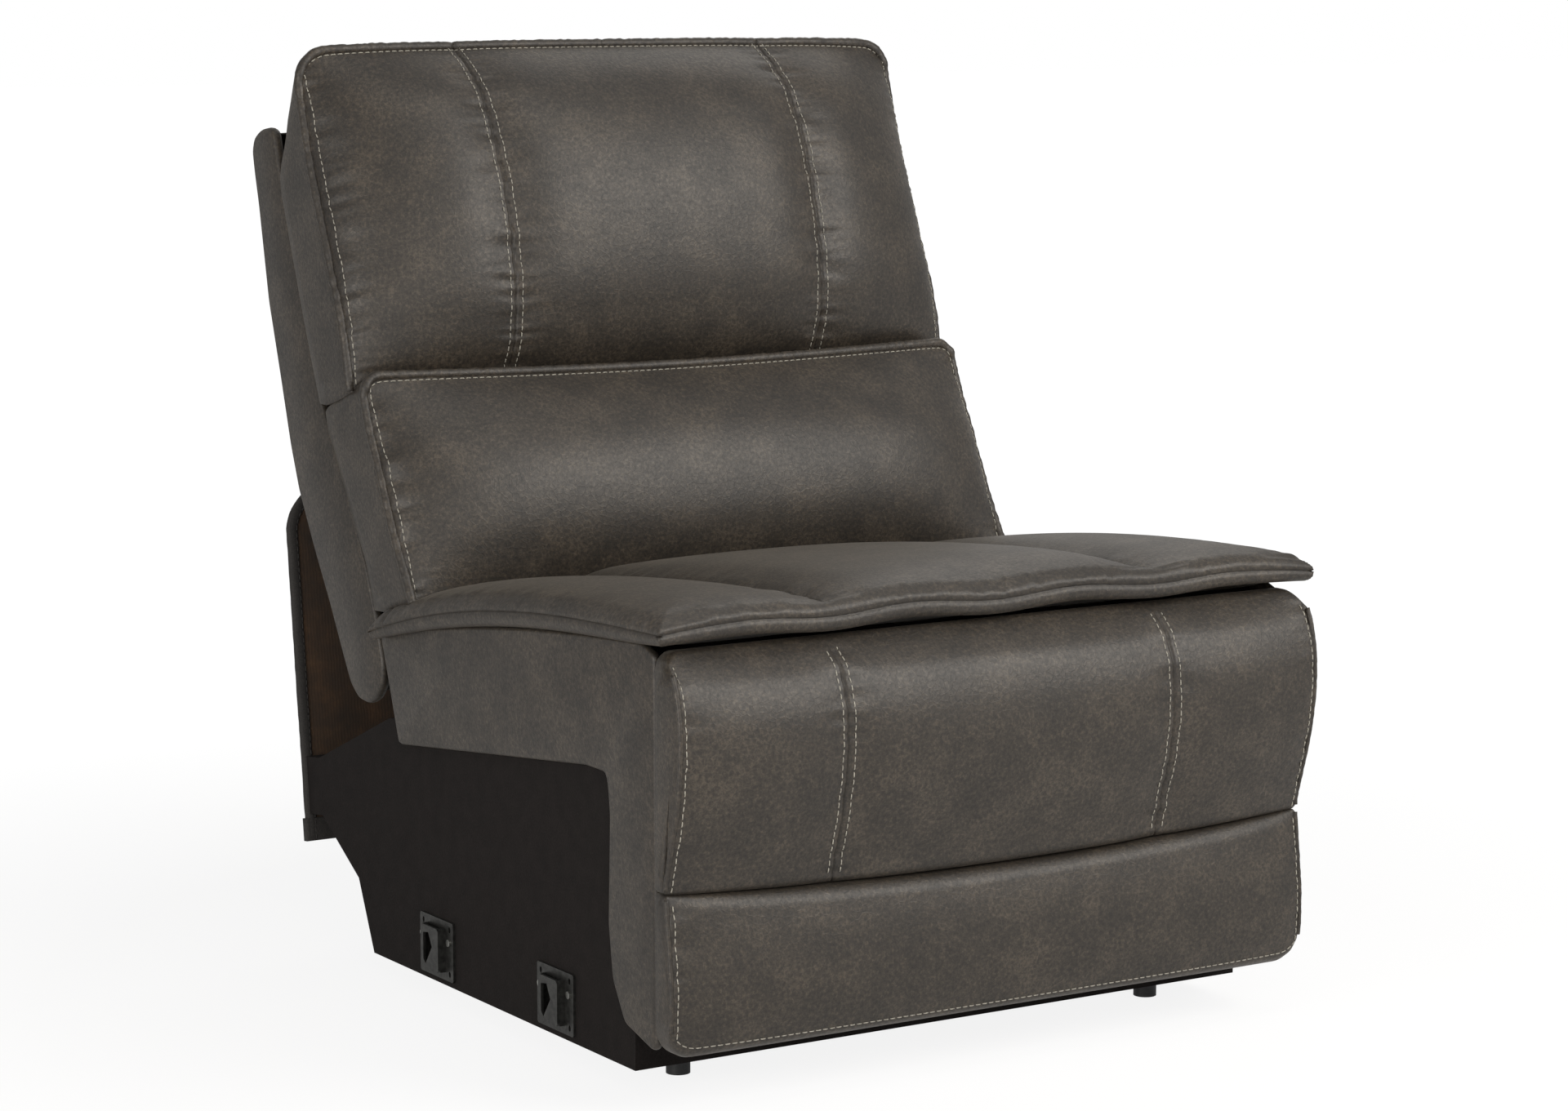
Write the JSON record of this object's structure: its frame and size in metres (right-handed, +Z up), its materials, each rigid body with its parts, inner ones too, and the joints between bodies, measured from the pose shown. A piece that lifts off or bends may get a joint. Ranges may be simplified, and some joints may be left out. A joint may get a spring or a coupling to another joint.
{
  "type": "armless reclining sofa module",
  "caption": "Armless power recliner module of a sectional sofa: gliding seat, back that leans as the seat comes forward, and a scissor footrest that swings up in front.",
  "frame": {"origin": "on the floor, under the middle of the bounding box", "axes": "+X to the right as seen from the front, +Y to the rear, +Z up"},
  "size_m": [0.806, 0.97, 1.0075],
  "materials": {
    "upholstery": "brushed suede-look microfibre",
    "base_cloth": "timber board under black dust cloth",
    "wrapped_timber": "timber rail under black dust cloth",
    "flap_board": "brown lining on a stiff board",
    "frame_timber": "plain sawn",
    "webbing": "woven elastic strap",
    "mechanism_steel": "black enamel",
    "connector_steel": "dark grey coating",
    "screw_steel": "zinc plated",
    "plastic": "moulded"
  },
  "bodies": {
    "base": {"base_panel_left": "base_cloth", "base_panel_right": "base_cloth", "base_front_rail": "base_cloth", "base_rear_rail": "base_cloth", "base_cross_rail": "frame_timber", "base_foot_blocks": "wrapped_timber", "base_feet": "plastic", "connectors_left": "connector_steel", "connectors_right": "connector_steel", "connector_screws": "screw_steel", "track_left": "mechanism_steel", "track_right": "mechanism_steel", "rear_flap": "flap_board", "recline_drive_rail": "mechanism_steel", "recline_drive_motor": "plastic"},
    "seat": {"seat_rail_left": "wrapped_timber", "seat_rail_right": "wrapped_timber", "seat_rail_front": "wrapped_timber", "seat_rail_rear": "wrapped_timber", "seat_webbing": "webbing", "seat_cushion": "upholstery", "side_cover_left": "upholstery", "side_cover_right": "upholstery", "seat_plate_left": "mechanism_steel", "seat_plate_right": "mechanism_steel", "glide_blocks": "plastic", "hinge_brackets": "mechanism_steel", "seat_cross_tube": "mechanism_steel", "recline_drive_block": "plastic", "footrest_drive_rail": "mechanism_steel", "footrest_drive_motor": "plastic", "switch_plate": "plastic"},
    "back": {"back_post_left": "wrapped_timber", "back_post_right": "wrapped_timber", "back_rail_top": "frame_timber", "back_rail_bottom": "wrapped_timber", "back_webbing": "webbing", "back_shell": "upholstery", "head_cushion": "upholstery", "lumbar_cushion": "upholstery", "back_hinge_plates": "mechanism_steel"},
    "main_links": {"main_link_left": "mechanism_steel", "main_link_right": "mechanism_steel", "torque_tube": "mechanism_steel", "drive_lever": "mechanism_steel"},
    "cross_links": {"cross_link_left": "mechanism_steel", "cross_link_right": "mechanism_steel"},
    "toe_links": {"toe_link_left": "mechanism_steel", "toe_link_right": "mechanism_steel"},
    "outer_links": {"outer_link_left": "mechanism_steel", "outer_link_right": "mechanism_steel"},
    "flip_links": {"flip_link_left": "mechanism_steel", "flip_link_right": "mechanism_steel"},
    "footrest": {"footrest_brackets": "mechanism_steel", "footrest_board": "wrapped_timber", "footrest_upper_pad": "upholstery", "footrest_lower_pad": "upholstery"},
    "drive_slider": {"drive_slider": "plastic"},
    "open_key": {"open_key": "plastic"},
    "close_key": {"close_key": "plastic"}
  },
  "joints": [
    {"name": "seat_glide", "type": "slide", "parent": "base", "child": "seat", "axis": [0, -0.9938, 0.1115], "range_m": [0, 0.18]},
    {"name": "back_recline", "type": "hinge", "parent": "seat", "child": "back", "pos_m": [0, 0.21527, 0.352], "axis": [-1, 0, 0], "range_deg": [0, 30.02]},
    {"name": "footrest_open", "type": "hinge", "parent": "seat", "child": "main_links", "pos_m": [0, -0.322, 0.385], "axis": [-1, 0, 0], "range_deg": [0, 60]},
    {"name": "cross_pivot", "type": "hinge", "parent": "main_links", "child": "cross_links", "pos_m": [0, -0.3385, 0.29144], "axis": [-1, 0, 0], "range_deg": [-120.06, 0]},
    {"name": "toe_pivot", "type": "hinge", "parent": "main_links", "child": "toe_links", "pos_m": [0, -0.35499, 0.19789], "axis": [-1, 0, 0], "range_deg": [-120.06, 0]},
    {"name": "outer_pivot", "type": "hinge", "parent": "toe_links", "child": "outer_links", "pos_m": [0, -0.37149, 0.29144], "axis": [-1, 0, 0], "range_deg": [0, 120.06]},
    {"name": "footrest_turn", "type": "hinge", "parent": "toe_links", "child": "footrest", "pos_m": [0, -0.38799, 0.385], "axis": [-1, 0, 0], "range_deg": [0, 146.07]},
    {"name": "flip_pivot", "type": "hinge", "parent": "outer_links", "child": "flip_links", "pos_m": [0, -0.38799, 0.19789], "axis": [-1, 0, 0], "range_deg": [-114.96, 0]},
    {"name": "drive_travel", "type": "slide", "parent": "seat", "child": "drive_slider", "axis": [0, -0.9938, 0.1115], "range_m": [0, 0.08087]},
    {"name": "open_key_press", "type": "slide", "parent": "seat", "child": "open_key", "axis": [-1, 0, 0], "range_m": [0, 0.0015], "stiffness_N_per_m": 300, "springref_m": -0.001},
    {"name": "close_key_press", "type": "slide", "parent": "seat", "child": "close_key", "axis": [-1, 0, 0], "range_m": [0, 0.0015], "stiffness_N_per_m": 300, "springref_m": -0.001}
  ],
  "couplings": [
    {"joint": "back_recline", "follows": "seat_glide", "rad_per_m": 2.9089},
    {"joint": "cross_pivot", "follows": "footrest_open", "ratio": -2},
    {"joint": "toe_pivot", "follows": "footrest_open", "ratio": -2},
    {"joint": "outer_pivot", "follows": "footrest_open", "ratio": 2},
    {"joint": "footrest_turn", "follows": "footrest_open", "ratio": 2.4333},
    {"joint": "flip_pivot", "follows": "footrest_open", "ratio": -1.9151},
    {"joint": "drive_travel", "follows": "footrest_open", "m_per_rad": 0.077186}
  ]
}
